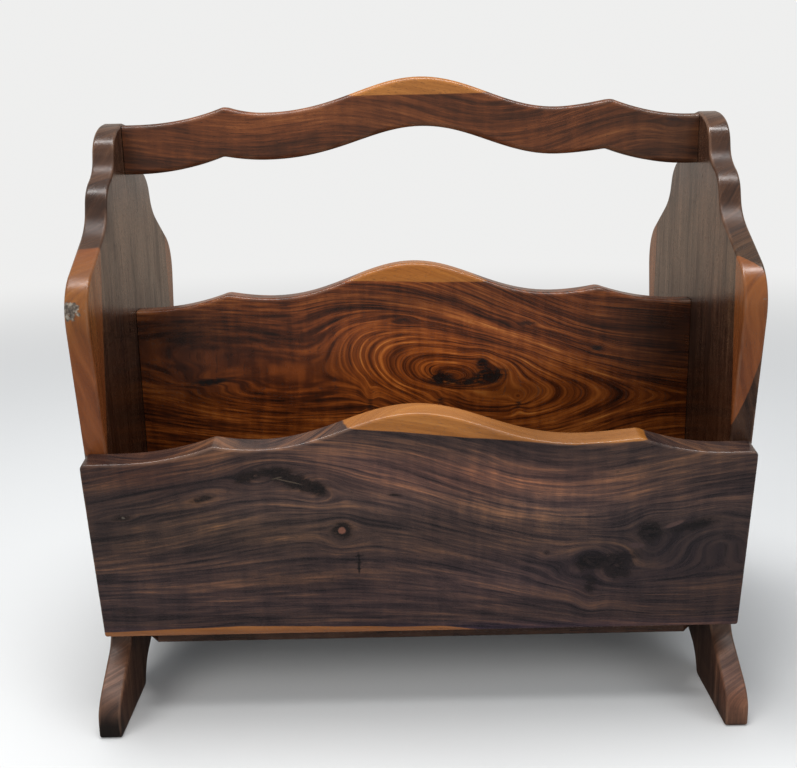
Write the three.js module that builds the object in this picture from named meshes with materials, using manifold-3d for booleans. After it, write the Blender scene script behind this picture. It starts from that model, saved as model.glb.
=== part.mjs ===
// Wooden magazine basket, free-standing, with two pockets and a fixed carrying handle.
// Two sawn end panels carry everything: leaning front and back panels, a centre divider,
// a bottom board and the handle, all held by hidden dowels.
// Millimetres, +Z up. The origin is on the floor in the middle of the footprint.
// X runs along the handle, and the front of the basket faces -Y.
import * as THREE from 'three';
import { mergeVertices } from 'three/addons/utils/BufferGeometryUtils.js';
import Module from 'manifold-3d';

const wasm = await Module();
wasm.setup();

// Overall sizes
const WIDTH = 460;
const LEAN_DEGREES = 9.3;

// End panels: heights from the floor, and half depths from the middle plane
const END_THICKNESS = 16;
const END_HEIGHT = 424;
const KNUCKLE_HEIGHT = 292;
const NECK_HALF_DEPTH = 36.5;
const WAIST_HEIGHT = 63;
const WAIST_HALF_DEPTH = 98.5;
const FOOT_HALF_DEPTH = 147;
const ARCH_HALF_DEPTH = 70.5;
const ARCH_HEIGHT = 34;
const END_ROUNDOVER = 3;

// Bottom board: its underside is above the floor, its four corners are clipped, and the divider
// stands in a groove along its middle
const BOTTOM_UNDERSIDE = 50;
const BOTTOM_THICKNESS = 18;
const BOTTOM_CLIP_LENGTH = 19;
const BOTTOM_CLIP_DEPTH = 25;
const GROOVE_DEPTH = 3;

// Front and back panels, measured up the lean. Their ends stop just short of the outer faces
const PANEL_THICKNESS = 19;
const PANEL_END_INSET = 1.8;
const PANEL_SIDE_HEIGHT = 139.2;
const PANEL_BOTTOM_HEIGHT = 67.4;
const PANEL_SHOULDER_RISE = 12;
const PANEL_DIP_RISE = 8.9;
const PANEL_CROWN_RISE = 33.5;
const PANEL_CROWN_SHIFT = -2;
const PANEL_TIP_SHIFT = 5.5;
const PANEL_ROUNDOVER = 2;

// Centre divider
const DIVIDER_THICKNESS = 19;
const DIVIDER_END_HEIGHT = 283.2;
const DIVIDER_SHOULDER_RISE = 11.4;
const DIVIDER_DIP_RISE = 7.8;
const DIVIDER_CROWN_RISE = 33;
const DIVIDER_ROUNDOVER = 3;

// Handle: a rail of nearly even depth, waved above and below, set just under the end panels' tops
const HANDLE_THICKNESS = 19;
const HANDLE_TOP_DROP = 1.4;
const HANDLE_DEPTH = 36;
const HANDLE_SHOULDER_RISE = 12;
const HANDLE_DIP_RISE = 7.1;
const HANDLE_CROWN_RISE = 30.5;
const HANDLE_CROWN_SHIFT = 7;
const HANDLE_TIP_SHIFT = 5.5;
const GRIP_SHOULDER_RISE = 12;
const GRIP_DIP_RISE = 8.8;
const GRIP_CROWN_RISE = 31;
const GRIP_CROWN_SHIFT = 8;
const GRIP_TIP_SHIFT = 3;
const HANDLE_ROUNDOVER = 4;

// Dowels and clearances
const DOWEL_DIAMETER = 8;
const DOWEL_LENGTH = 30;
const DOWEL_CHAMFER = 1;
const DOWEL_SIDES = 10;
const DOWEL_CLEARANCE = 0.3;
const SEAT_GAP = 0.3;
const CUT_OVERRUN = 12;
const MERGE_DISTANCE = 0.0001;

// Steps in each curved stretch of an outline, and in each rounded edge
const CURVE_STEPS = 5;
const ROUNDOVER_STEPS = 2;

// Wave, as shares of half the length between the end panels, from the end to the middle
const WAVE_SHARES = {
  ramp: [0.965], shoulder: [0.811, 0.668], dip: [0.577, 0.505], crown: [0.29, 0.175],
};

// Top of an end panel: depth from neck to knuckle, then height from knuckle to top
const KNUCKLE_SHARES = { pull: [1.029, 0.172], end: [0.848, 0.263] };
const SLOPE_SHARES = { end: [0.493, 0.412], pull: [0.365, 0.469] };
const SHOULDER_SHARES = {
  foot: [0.33, 0.537], side: [0.306, 0.593], pull: [0.281, 0.653], top: [0.187, 0.696],
};
const NECK_SHARES = { pull: [0.044, 0.743], foot: [0.02, 0.806], side: [0, 0.858] };
// Rounded top of the neck: depth as a share of the neck's, height from knuckle to top
const NECK_TOP_SHARES = { pull: [0.85, 0.963], end: [0.23, 0.9925] };

// Foot: depth from waist to toe, and height up to the waist
const FOOT_SHARES = {
  toe: [1, 0.206], toePull: [1, 0.35], instep: [0.732, 0.484], sweep: [0.175, 0.746], pull: [0, 0.833],
};
// Arch between the feet: depth and height as shares of the arch's own
const ARCH_SHARES = {
  heelPull: [0.936, 0.41], heel: [0.738, 0.588], risePull: [0.54, 0.765], crownPull: [0.28, 1],
};

// Where dowels sit along each joint, as shares of its length, and how deep they enter a face
const HANDLE_DOWEL_SHARES = [0.26, 0.74];
const DIVIDER_DOWEL_SHARES = [0.15, 0.5, 0.85];
const BOTTOM_DOWEL_SHARES = [-0.55, 0, 0.55];
const PANEL_DOWEL_SHARES = [0.2, 0.5, 0.8];
const SPINE_DOWEL_SHARES = [-0.6, 0, 0.6];
const FACE_DEPTH_SHARE = 0.6;

// Sizes that follow from the ones above
const HALF_WIDTH = WIDTH / 2;
const INNER_HALF_WIDTH = HALF_WIDTH - END_THICKNESS;
const END_MIDDLE = HALF_WIDTH - END_THICKNESS / 2;
const PANEL_HALF_LENGTH = HALF_WIDTH - PANEL_END_INSET;
const BOTTOM_TOP = BOTTOM_UNDERSIDE + BOTTOM_THICKNESS;
const GROOVE_FLOOR = BOTTOM_TOP - GROOVE_DEPTH;
const DIVIDER_BOTTOM = GROOVE_FLOOR + SEAT_GAP;
const HANDLE_END_HEIGHT = END_HEIGHT - HANDLE_TOP_DROP;
const LEAN_ANGLE = THREE.MathUtils.degToRad(LEAN_DEGREES);

const PANEL_WAVE = {
  shoulder: PANEL_SHOULDER_RISE, dip: PANEL_DIP_RISE, crown: PANEL_CROWN_RISE,
  tipShift: PANEL_TIP_SHIFT, crownShift: PANEL_CROWN_SHIFT,
};
const DIVIDER_WAVE = {
  shoulder: DIVIDER_SHOULDER_RISE, dip: DIVIDER_DIP_RISE, crown: DIVIDER_CROWN_RISE,
  tipShift: 0, crownShift: 0,
};
const HANDLE_WAVE = {
  shoulder: HANDLE_SHOULDER_RISE, dip: HANDLE_DIP_RISE, crown: HANDLE_CROWN_RISE,
  tipShift: HANDLE_TIP_SHIFT, crownShift: HANDLE_CROWN_SHIFT,
};
const GRIP_WAVE = {
  shoulder: GRIP_SHOULDER_RISE, dip: GRIP_DIP_RISE, crown: GRIP_CROWN_RISE,
  tipShift: GRIP_TIP_SHIFT, crownShift: GRIP_CROWN_SHIFT,
};

const heartwood = new THREE.MeshStandardMaterial({ color: 0x4a2e22, roughness: 0.38, metalness: 0 });
const figuredHeartwood = new THREE.MeshStandardMaterial({ color: 0x6b3f22, roughness: 0.36, metalness: 0 });
const endWood = new THREE.MeshStandardMaterial({ color: 0x5a3a2c, roughness: 0.4, metalness: 0 });
const dowelWood = new THREE.MeshStandardMaterial({ color: 0xb98a5a, roughness: 0.7, metalness: 0 });

// Half depth of the straight leaning edge at a height above the floor
function leaningHalfDepth(height) {
  return WAIST_HALF_DEPTH + Math.tan(LEAN_ANGLE) * (height - WAIST_HEIGHT);
}

function mix(from, to, share) {
  return from + (to - from) * share;
}

// An outline under construction: a list of points that lines and curves are added to
class Outline {
  constructor(x, y) {
    this.points = [new THREE.Vector2(x, y)];
  }

  last() {
    return this.points[this.points.length - 1];
  }

  line(x, y) {
    this.points.push(new THREE.Vector2(x, y));
    return this;
  }

  arc(pull, end) {
    const curve = new THREE.QuadraticBezierCurve(this.last(), pull, end);
    this.points.push(...curve.getPoints(CURVE_STEPS).slice(1));
    return this;
  }

  ogee(pull, secondPull, end) {
    const curve = new THREE.CubicBezierCurve(this.last(), pull, secondPull, end);
    this.points.push(...curve.getPoints(CURVE_STEPS + CURVE_STEPS).slice(1));
    return this;
  }
}

// The same outline seen in a mirror, run backwards, without the points that lie on the middle line
function mirrored(points) {
  return points.filter((point) => point.x > MERGE_DISTANCE)
    .map((point) => new THREE.Vector2(-point.x, point.y))
    .reverse();
}

// Front half of an end panel's outline, from the arch over the foot and up to the top
function endHalfOutline() {
  const knuckleHalfDepth = leaningHalfDepth(KNUCKLE_HEIGHT);
  const archPoint = ([depthShare, heightShare]) => (
    new THREE.Vector2(ARCH_HALF_DEPTH * depthShare, ARCH_HEIGHT * heightShare));
  const footPoint = ([depthShare, heightShare]) => (
    new THREE.Vector2(mix(WAIST_HALF_DEPTH, FOOT_HALF_DEPTH, depthShare), WAIST_HEIGHT * heightShare));
  const upperPoint = ([depthShare, heightShare]) => new THREE.Vector2(
    mix(NECK_HALF_DEPTH, knuckleHalfDepth, depthShare), mix(KNUCKLE_HEIGHT, END_HEIGHT, heightShare));
  const neckPoint = ([depthShare, heightShare]) => (
    new THREE.Vector2(NECK_HALF_DEPTH * depthShare, mix(KNUCKLE_HEIGHT, END_HEIGHT, heightShare)));
  const toe = footPoint(FOOT_SHARES.toe);
  const sweep = footPoint(FOOT_SHARES.sweep);
  const slopeEnd = upperPoint(SLOPE_SHARES.end);
  const shoulderSide = upperPoint(SHOULDER_SHARES.side);
  const neckSide = upperPoint(NECK_SHARES.side);
  const outline = new Outline(0, ARCH_HEIGHT);
  const heel = archPoint(ARCH_SHARES.heel);
  outline.ogee(archPoint(ARCH_SHARES.crownPull), archPoint(ARCH_SHARES.risePull), heel);
  outline.arc(archPoint(ARCH_SHARES.heelPull), new THREE.Vector2(ARCH_HALF_DEPTH, 0));
  outline.line(FOOT_HALF_DEPTH, 0);
  outline.line(toe.x, toe.y);
  outline.arc(footPoint(FOOT_SHARES.toePull), footPoint(FOOT_SHARES.instep));
  outline.line(sweep.x, sweep.y);
  outline.arc(footPoint(FOOT_SHARES.pull), new THREE.Vector2(WAIST_HALF_DEPTH, WAIST_HEIGHT));
  outline.line(knuckleHalfDepth, KNUCKLE_HEIGHT);
  outline.arc(upperPoint(KNUCKLE_SHARES.pull), upperPoint(KNUCKLE_SHARES.end));
  outline.line(slopeEnd.x, slopeEnd.y);
  outline.arc(upperPoint(SLOPE_SHARES.pull), upperPoint(SHOULDER_SHARES.foot));
  outline.line(shoulderSide.x, shoulderSide.y);
  outline.arc(upperPoint(SHOULDER_SHARES.pull), upperPoint(SHOULDER_SHARES.top));
  outline.arc(upperPoint(NECK_SHARES.pull), upperPoint(NECK_SHARES.foot));
  outline.line(neckSide.x, neckSide.y);
  outline.arc(neckPoint(NECK_TOP_SHARES.pull), neckPoint(NECK_TOP_SHARES.end));
  outline.line(0, END_HEIGHT);
  return outline.points;
}

// The wave from its right end to its left end at a base height: level ends, a pointed shoulder,
// a dip and a broad crown. The shoulders' tips and the crown may sit a little to one side.
function wavePoints(halfLength, base, wave) {
  const along = (shares) => shares.map((share) => INNER_HALF_WIDTH * share);
  const [rampEnd] = along(WAVE_SHARES.ramp);
  const [shoulderPull, shoulderTip] = along(WAVE_SHARES.shoulder);
  const [dipPull, dipEnd] = along(WAVE_SHARES.dip);
  const [risePull, crownPull] = along(WAVE_SHARES.crown);
  const point = (x, rise) => new THREE.Vector2(x, base + rise);
  const half = (side) => {
    const tipShift = side * wave.tipShift;
    const shift = side * wave.crownShift;
    const outline = new Outline(halfLength, base);
    outline.line(rampEnd, base);
    outline.arc(point(shoulderPull + tipShift, 0), point(shoulderTip + tipShift, wave.shoulder));
    outline.arc(point(dipPull, wave.dip), point(dipEnd, wave.dip));
    outline.ogee(
      point(risePull + shift, wave.dip), point(crownPull + shift, wave.crown), point(shift, wave.crown));
    return outline.points;
  };
  const left = half(-1).map((spot) => new THREE.Vector2(-spot.x, spot.y)).reverse();
  return [...half(1), ...left.slice(1)];
}

// A flat board sawn to an outline, with every edge rounded over, centred on its own thickness
function boardGeometry(points, thickness, roundover) {
  const geometry = new THREE.ExtrudeGeometry(new THREE.Shape(points), {
    depth: thickness - roundover - roundover,
    bevelEnabled: roundover > 0,
    bevelThickness: roundover,
    bevelSize: roundover,
    bevelOffset: -roundover,
    bevelSegments: ROUNDOVER_STEPS,
  });
  geometry.translate(0, 0, roundover - thickness / 2);
  return geometry;
}

// Turns a board drawn flat so that its outline lies in the X-Z plane or in the Y-Z plane
function standAcross(geometry) {
  return geometry.rotateX(Math.PI / 2);
}

function standEndwise(geometry) {
  const axes = [new THREE.Vector3(0, 1, 0), new THREE.Vector3(0, 0, 1), new THREE.Vector3(1, 0, 0)];
  return geometry.applyMatrix4(new THREE.Matrix4().makeBasis(...axes));
}

function toSolid(geometry) {
  const bare = geometry.clone();
  bare.deleteAttribute('normal');
  bare.deleteAttribute('uv');
  const merged = mergeVertices(bare, MERGE_DISTANCE);
  return new wasm.Manifold(new wasm.Mesh({
    numProp: 3,
    vertProperties: merged.attributes.position.array,
    triVerts: Uint32Array.from(merged.index.array),
  }));
}

function toGeometry(solid) {
  const mesh = solid.getMesh();
  const geometry = new THREE.BufferGeometry();
  geometry.setAttribute('position', new THREE.BufferAttribute(mesh.vertProperties, 3));
  geometry.setIndex(new THREE.BufferAttribute(mesh.triVerts, 1));
  geometry.computeVertexNormals();
  return geometry;
}

// Cuts an upright board square at its ends and its foot
function trimmed(geometry, halfLength, thickness, bottom, top) {
  const height = top - bottom;
  const box = new THREE.BoxGeometry(halfLength + halfLength, thickness + CUT_OVERRUN, height);
  box.translate(0, 0, bottom + height / 2);
  return toGeometry(toSolid(geometry).intersect(toSolid(box)));
}

// A dowel of a radius and a length, lying along +X from the middle of its length, with chamfered ends
function dowelGeometry(radius, length) {
  const profile = [
    new THREE.Vector2(0, -length / 2),
    new THREE.Vector2(radius - DOWEL_CHAMFER, -length / 2),
    new THREE.Vector2(radius, DOWEL_CHAMFER - length / 2),
    new THREE.Vector2(radius, length / 2 - DOWEL_CHAMFER),
    new THREE.Vector2(radius - DOWEL_CHAMFER, length / 2),
    new THREE.Vector2(0, length / 2),
  ];
  return new THREE.LatheGeometry(profile, DOWEL_SIDES).rotateZ(-Math.PI / 2);
}

const basket = new THREE.Group();
const boards = {};
const dowels = [];

function addBoard(name, geometry, material, parent) {
  const mesh = new THREE.Mesh(geometry, material);
  mesh.name = name;
  parent.add(mesh);
  boards[name] = mesh;
  return mesh;
}

// Puts a dowel across a joint: it starts inside the face of one board and runs along a direction
// into the edge of the other
function addDowel(name, parent, jointPoint, direction, faceThickness, joined) {
  const mesh = new THREE.Mesh(dowelGeometry(DOWEL_DIAMETER / 2, DOWEL_LENGTH), dowelWood);
  mesh.name = name;
  mesh.quaternion.setFromUnitVectors(new THREE.Vector3(1, 0, 0), direction);
  mesh.position.copy(jointPoint);
  mesh.position.addScaledVector(direction, DOWEL_LENGTH / 2 - faceThickness * FACE_DEPTH_SHARE);
  parent.add(mesh);
  dowels.push({ mesh, joined });
}

// Bores every dowel's hole into the boards that it joins
function boreDowelHoles() {
  basket.updateMatrixWorld(true);
  for (const [name, board] of Object.entries(boards)) {
    let solid = toSolid(board.geometry);
    for (const { mesh } of dowels.filter((dowel) => dowel.joined.includes(name))) {
      const bore = dowelGeometry(DOWEL_DIAMETER / 2 + DOWEL_CLEARANCE, DOWEL_LENGTH + 2 * DOWEL_CLEARANCE);
      bore.applyMatrix4(mesh.matrixWorld);
      bore.applyMatrix4(board.matrixWorld.clone().invert());
      solid = solid.subtract(toSolid(bore));
    }
    board.geometry = toGeometry(solid);
  }
}

// End panels, mirrored about the middle
function addEndPanels() {
  const front = endHalfOutline();
  const outline = [...front, ...mirrored(front)];
  for (const [side, sign] of [['left', -1], ['right', 1]]) {
    const geometry = standEndwise(boardGeometry(outline, END_THICKNESS, END_ROUNDOVER));
    addBoard(`${side}_end_panel`, geometry, endWood, basket).position.set(sign * END_MIDDLE, 0, 0);
  }
}

function addBottomBoard() {
  const halfLength = INNER_HALF_WIDTH - SEAT_GAP;
  const halfDepth = leaningHalfDepth(PANEL_BOTTOM_HEIGHT) - SEAT_GAP;
  const clipX = halfLength - BOTTOM_CLIP_LENGTH;
  const clipY = halfDepth - BOTTOM_CLIP_DEPTH;
  const outline = [
    [halfLength, -clipY], [halfLength, clipY], [clipX, halfDepth], [-clipX, halfDepth],
    [-halfLength, clipY], [-halfLength, -clipY], [-clipX, -halfDepth], [clipX, -halfDepth],
  ].map(([x, y]) => new THREE.Vector2(x, y));
  const blank = boardGeometry(outline, BOTTOM_THICKNESS, 0);
  const grooveWidth = DIVIDER_THICKNESS + 2 * SEAT_GAP;
  const groove = new THREE.BoxGeometry(2 * (halfLength + CUT_OVERRUN), grooveWidth, 2 * GROOVE_DEPTH);
  groove.translate(0, 0, BOTTOM_THICKNESS / 2);
  const cut = toGeometry(toSolid(blank).subtract(toSolid(groove)));
  const board = addBoard('bottom_board', cut, heartwood, basket);
  board.position.z = BOTTOM_UNDERSIDE + BOTTOM_THICKNESS / 2;
  for (const [side, sign] of [['left', -1], ['right', 1]]) {
    BOTTOM_DOWEL_SHARES.forEach((share, index) => {
      const joint = new THREE.Vector3(sign * INNER_HALF_WIDTH, share * clipY, board.position.z);
      addDowel(`bottom_dowel_${side}_${index + 1}`, basket, joint, new THREE.Vector3(-sign, 0, 0),
        END_THICKNESS, ['bottom_board', `${side}_end_panel`]);
    });
  }
}

// A panel planted on the leaning edges of the end panels: its group's origin is at the lower back
// corner, with the group's own Z up the lean and the panel standing in front of it
function addLeaningPanel(name, turn) {
  const group = new THREE.Group();
  group.rotation.order = 'ZXY';
  group.rotation.z = turn;
  group.rotation.x = LEAN_ANGLE;
  group.position.y = -Math.cos(turn) * leaningHalfDepth(PANEL_BOTTOM_HEIGHT);
  group.position.z = PANEL_BOTTOM_HEIGHT;
  basket.add(group);
  const half = PANEL_HALF_LENGTH;
  const wave = wavePoints(half, PANEL_SIDE_HEIGHT, PANEL_WAVE);
  const outline = [new THREE.Vector2(-half, 0), new THREE.Vector2(half, 0), ...wave];
  const geometry = standAcross(boardGeometry(outline, PANEL_THICKNESS, PANEL_ROUNDOVER));
  addBoard(name, geometry, heartwood, group).position.y = -SEAT_GAP - PANEL_THICKNESS / 2;
  for (const [side, sign] of [['left', -1], ['right', 1]]) {
    const endPanel = Math.cos(turn) * sign < 0 ? 'left_end_panel' : 'right_end_panel';
    PANEL_DOWEL_SHARES.forEach((share, index) => {
      const joint = new THREE.Vector3(sign * END_MIDDLE, -SEAT_GAP, share * PANEL_SIDE_HEIGHT);
      addDowel(`${name}_dowel_${side}_${index + 1}`, group, joint, new THREE.Vector3(0, 1, 0),
        PANEL_THICKNESS, [name, endPanel]);
    });
  }
}

function addDivider() {
  const halfLength = INNER_HALF_WIDTH - SEAT_GAP;
  const longHalf = INNER_HALF_WIDTH + CUT_OVERRUN;
  const lowEdge = DIVIDER_BOTTOM - CUT_OVERRUN;
  const wave = wavePoints(longHalf, DIVIDER_END_HEIGHT, DIVIDER_WAVE);
  const outline = [new THREE.Vector2(-longHalf, lowEdge), new THREE.Vector2(longHalf, lowEdge), ...wave];
  const blank = standAcross(boardGeometry(outline, DIVIDER_THICKNESS, DIVIDER_ROUNDOVER));
  const top = DIVIDER_END_HEIGHT + DIVIDER_CROWN_RISE + CUT_OVERRUN;
  const cut = trimmed(blank, halfLength, DIVIDER_THICKNESS, DIVIDER_BOTTOM, top);
  addBoard('divider', cut, figuredHeartwood, basket);
  for (const [side, sign] of [['left', -1], ['right', 1]]) {
    DIVIDER_DOWEL_SHARES.forEach((share, index) => {
      const height = mix(DIVIDER_BOTTOM, DIVIDER_END_HEIGHT, share);
      const joint = new THREE.Vector3(sign * INNER_HALF_WIDTH, 0, height);
      addDowel(`divider_dowel_${side}_${index + 1}`, basket, joint, new THREE.Vector3(-sign, 0, 0),
        END_THICKNESS, ['divider', `${side}_end_panel`]);
    });
  }
  SPINE_DOWEL_SHARES.forEach((share, index) => {
    const joint = new THREE.Vector3(share * INNER_HALF_WIDTH, 0, GROOVE_FLOOR);
    addDowel(`divider_foot_dowel_${index + 1}`, basket, joint, new THREE.Vector3(0, 0, 1),
      BOTTOM_THICKNESS - GROOVE_DEPTH, ['divider', 'bottom_board']);
  });
}

function addHandle() {
  const halfLength = INNER_HALF_WIDTH - SEAT_GAP;
  const longHalf = INNER_HALF_WIDTH + CUT_OVERRUN;
  const underside = HANDLE_END_HEIGHT - HANDLE_DEPTH;
  const upper = wavePoints(longHalf, HANDLE_END_HEIGHT, HANDLE_WAVE);
  const lower = wavePoints(longHalf, underside, GRIP_WAVE).reverse();
  const blank = standAcross(boardGeometry([...lower, ...upper], HANDLE_THICKNESS, HANDLE_ROUNDOVER));
  const top = HANDLE_END_HEIGHT + HANDLE_CROWN_RISE + CUT_OVERRUN;
  const cut = trimmed(blank, halfLength, HANDLE_THICKNESS, underside - CUT_OVERRUN, top);
  addBoard('handle', cut, figuredHeartwood, basket);
  for (const [side, sign] of [['left', -1], ['right', 1]]) {
    HANDLE_DOWEL_SHARES.forEach((share, index) => {
      const joint = new THREE.Vector3(sign * INNER_HALF_WIDTH, 0, mix(underside, HANDLE_END_HEIGHT, share));
      addDowel(`handle_dowel_${side}_${index + 1}`, basket, joint, new THREE.Vector3(-sign, 0, 0),
        END_THICKNESS, ['handle', `${side}_end_panel`]);
    });
  }
}

addEndPanels();
addBottomBoard();
addLeaningPanel('front_panel', 0);
addLeaningPanel('back_panel', Math.PI);
addDivider();
addHandle();
boreDowelHoles();

export default basket;
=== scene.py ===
"""Looks of the wooden magazine basket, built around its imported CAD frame.

Six boards are rebuilt on the outlines of their solids, with finer curves, eased corners and true
rounded arrises. The bottom board and the dowels stay the CAD's own, with wood of their own. Lengths
are millimetres in the boards and in the wood, and metres in the dowels' grain, the floor and the lamps.
"""

import math

import bpy
import numpy as np
from mathutils import Matrix, Vector
from mathutils.geometry import delaunay_2d_cdt


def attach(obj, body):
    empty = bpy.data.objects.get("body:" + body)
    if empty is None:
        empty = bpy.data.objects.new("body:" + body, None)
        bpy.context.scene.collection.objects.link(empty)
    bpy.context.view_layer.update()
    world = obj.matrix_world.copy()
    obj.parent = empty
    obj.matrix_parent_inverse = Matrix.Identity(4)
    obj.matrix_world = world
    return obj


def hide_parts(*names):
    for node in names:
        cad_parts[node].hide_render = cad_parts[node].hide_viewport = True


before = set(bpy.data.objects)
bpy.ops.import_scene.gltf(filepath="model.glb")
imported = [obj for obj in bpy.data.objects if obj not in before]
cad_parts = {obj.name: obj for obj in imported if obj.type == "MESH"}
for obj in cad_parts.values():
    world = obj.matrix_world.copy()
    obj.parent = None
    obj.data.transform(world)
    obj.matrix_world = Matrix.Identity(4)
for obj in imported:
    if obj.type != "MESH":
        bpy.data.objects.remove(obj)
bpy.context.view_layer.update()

MM = 0.001
PER_METRE = 1000.0

# Sizes, as in the part's source
HALF_WIDTH = 230.0
END_THICKNESS = 16.0
INNER_HALF_WIDTH = HALF_WIDTH - END_THICKNESS
END_MIDDLE = HALF_WIDTH - END_THICKNESS / 2
SEAT_GAP = 0.3
BOARD_HALF_LENGTH = INNER_HALF_WIDTH - SEAT_GAP
LEAN = math.radians(9.3)
WAIST_HEIGHT, WAIST_HALF_DEPTH = 63.0, 98.5
KNUCKLE_HEIGHT, END_HEIGHT = 292.0, 424.0
NECK_HALF_DEPTH, FOOT_HALF_DEPTH = 36.5, 147.0
ARCH_HALF_DEPTH, ARCH_HEIGHT = 70.5, 34.0
BOTTOM_UNDERSIDE, BOTTOM_THICKNESS = 50.0, 18.0
GROOVE_DEPTH = 3.0
PANEL_THICKNESS, PANEL_SIDE_HEIGHT, PANEL_BOTTOM_HEIGHT = 19.0, 139.2, 67.4
PANEL_HALF_LENGTH = HALF_WIDTH - 1.8
DIVIDER_THICKNESS, DIVIDER_END_HEIGHT = 19.0, 283.2
DIVIDER_BOTTOM = BOTTOM_UNDERSIDE + BOTTOM_THICKNESS - GROOVE_DEPTH + SEAT_GAP
HANDLE_THICKNESS, HANDLE_END_HEIGHT, HANDLE_DEPTH = 19.0, 422.6, 36.0

# Waves: shoulder, dip and crown rises, and the shifts of the tips and of the crown towards +X
PANEL_WAVE = (12.0, 8.9, 33.5, 5.5, -2.0)
DIVIDER_WAVE = (11.4, 7.8, 33.0, 0.0, 0.0)
HANDLE_WAVE = (12.0, 7.1, 30.5, 5.5, 7.0)
GRIP_WAVE = (12.0, 8.8, 31.0, 3.0, 8.0)
# Where their parts meet, from the end to the middle, as shares of the inner half width
LEVEL_END, RISE, TIP, FALL, DIP, SWELL, CROWN = 0.965, 0.811, 0.668, 0.577, 0.505, 0.29, 0.175

# How far corners are cut back, and the radii of arrises. Where there are two, the radius changes from
# one to the other over a stretch: in from a panel's ends, or up from an end panel's soles.
FOOT_EASE = 3.6
PANEL_EASE, PANEL_END_EASE, TIP_EASE = 2.2, 4.0, 3.0
PANEL_ARRIS, PANEL_TOP_ARRISES, PANEL_STRETCH = 1.3, (1.8, 2.3), (2.0, 22.0)
PANEL_TOP_FROM = PANEL_SIDE_HEIGHT - 5.0
END_ARRISES, END_STRETCH = (1.6, 2.2), (4.0, 16.0)
DIVIDER_ARRIS, HANDLE_ARRIS = 3.0, 3.8

# How far the faces undulate, the lengths of the long and the short waves along X and Y, how strong
# the short ones are, and how far the faces lie back so that they stay inside the solids
UNDULATION, HANDLE_UNDULATION = 0.05, 0.04
LONG_WAVES, SHORT_WAVES, SHORT_SHARE, LIE_BACK = (31.0, 23.0), (13.0, 41.0), 0.6, 1.6

# Fineness of the meshes
CURVE_STEPS = 12
EASE_STEPS = 6
ROUND_STEPS = 6
SIDE_STEPS = 3
LONGEST_STEP, SHORTEST_STEP = 5.0, 0.02
ROW_SPACING = 0.9
RIM_CLEARANCE, SPOT_CLEARANCE = 0.45, 0.5
LEAST_MITRE = 0.5
MERGE_DISTANCE = 1e-5
SLOPE_STEP = 0.5
CLOSE = 0.01


# Outlines
def leaning_half_depth(height):
    return WAIST_HALF_DEPTH + math.tan(LEAN) * (height - WAIST_HEIGHT)


def mix(a, b, share):
    return a + (b - a) * share


class Outline:
    """A list of points that lines and curves are added to, with the corners to be eased."""

    def __init__(self, *start):
        self.points = [start] if start else []
        self.corners = {}

    def line(self, x, y):
        self.points.append((x, y))
        return self

    def curve(self, *controls, steps=CURVE_STEPS):
        knots = np.array([self.points[-1], *controls], float)
        order = len(knots) - 1
        for step in range(1, steps + 1):
            t = step / steps
            weights = [math.comb(order, k) * t ** k * (1 - t) ** (order - k)
                       for k in range(order + 1)]
            self.points.append(tuple(np.array(weights) @ knots))
        return self

    def ease(self, radius):
        self.corners[len(self.points) - 1] = radius


def mirror_closed(outline):
    """The half outline on the right, and its mirror image on the left, as one loop."""
    corners = dict(outline.corners)
    whole = list(outline.points)
    for index in range(len(outline.points) - 1, -1, -1):
        x, y = outline.points[index]
        if x > CLOSE:
            if index in corners:
                corners[len(whole)] = corners[index]
            whole.append((-x, y))
    return whole, corners


def eased_loop(points, corners):
    """The closed loop with its marked corners cut back and rounded, and its long stretches divided."""
    count = len(points)
    pts = np.array(points, float)
    out = []

    def walk(start, step, distance):
        here, index = pts[start], start
        while True:
            index = (index + step) % count
            gap = np.linalg.norm(pts[index] - here)
            if gap >= distance:
                return here + (pts[index] - here) * distance / gap, index
            distance -= gap
            here = pts[index]

    cut = {}
    dropped = set()
    for corner, radius in corners.items():
        before, back_index = walk(corner, -1, radius)
        after, fore_index = walk(corner, 1, radius)
        cut[corner] = (before, after)
        index = (back_index + 1) % count
        while index != fore_index:
            if index != corner:
                dropped.add(index)
            index = (index + 1) % count
    for index in range(count):
        if index in dropped:
            continue
        if index in cut:
            before, after = cut[index]
            for step in range(EASE_STEPS + 1):
                t = step / EASE_STEPS
                out.append(before * (1 - t) ** 2 + pts[index] * 2 * t * (1 - t) + after * t * t)
        else:
            out.append(pts[index])
    loop = []
    for here, there in zip(out, out[1:] + out[:1]):
        gap = np.linalg.norm(there - here)
        if gap < SHORTEST_STEP:
            continue
        pieces = max(1, math.ceil(gap / LONGEST_STEP))
        loop.extend(here + (there - here) * k / pieces for k in range(pieces))
    loop = np.array(loop)
    ahead = np.roll(loop, -1, 0)
    if (loop[:, 0] * ahead[:, 1] - ahead[:, 0] * loop[:, 1]).sum() < 0:
        loop = loop[::-1]
    return loop


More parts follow.
